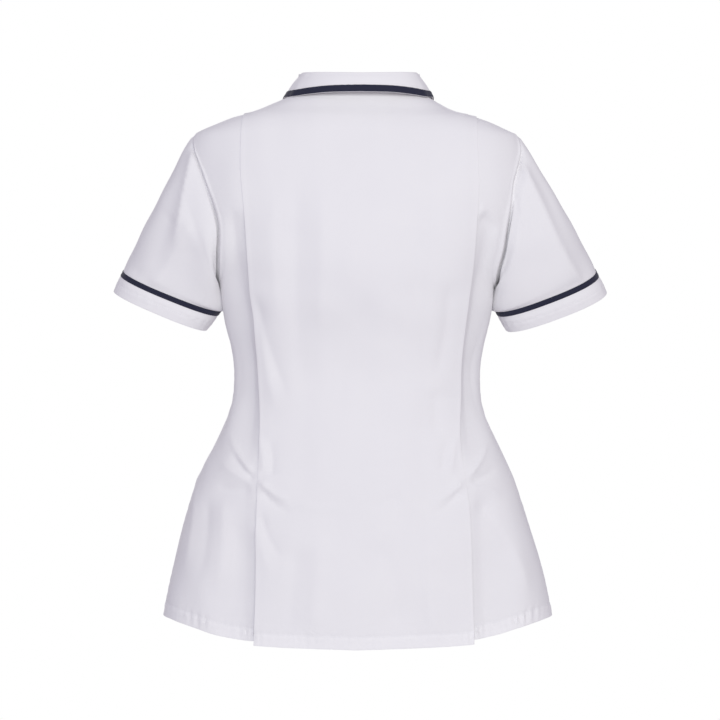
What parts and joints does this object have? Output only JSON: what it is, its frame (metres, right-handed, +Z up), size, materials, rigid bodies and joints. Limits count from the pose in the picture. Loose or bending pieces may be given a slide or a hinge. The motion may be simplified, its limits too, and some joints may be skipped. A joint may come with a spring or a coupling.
{
  "type": "short-sleeve lab coat",
  "caption": "Fitted short-sleeve tunic coat with a turned collar, button front, long back pleats and narrow dark trim on collar and sleeves; a rigid hollow shell with no wearer.",
  "frame": {"origin": "middle of the neck opening, level with the highest points of its sides, where the wearer's neck and shoulders hold the coat", "axes": "+Z up, +X towards the wearer's left, +Y towards the wearer's back"},
  "size_m": [0.6306, 0.2548, 0.7185],
  "materials": {
    "white_cloth": "matte, fine twill",
    "navy_trim": "matte",
    "white_plastic": "satin"
  },
  "bodies": {
    "root": {"back": "white_cloth", "front_left": "white_cloth", "front_right": "white_cloth", "sleeve_left": "white_cloth", "sleeve_right": "white_cloth", "cuff_left": "white_cloth", "cuff_right": "white_cloth", "collar": "white_cloth", "cuff_trim_left": "navy_trim", "cuff_trim_right": "navy_trim", "collar_trim": "navy_trim", "button_1": "white_plastic", "button_2": "white_plastic", "button_3": "white_plastic", "button_4": "white_plastic", "button_5": "white_plastic", "button_6": "white_plastic"}
  },
  "joints": []
}
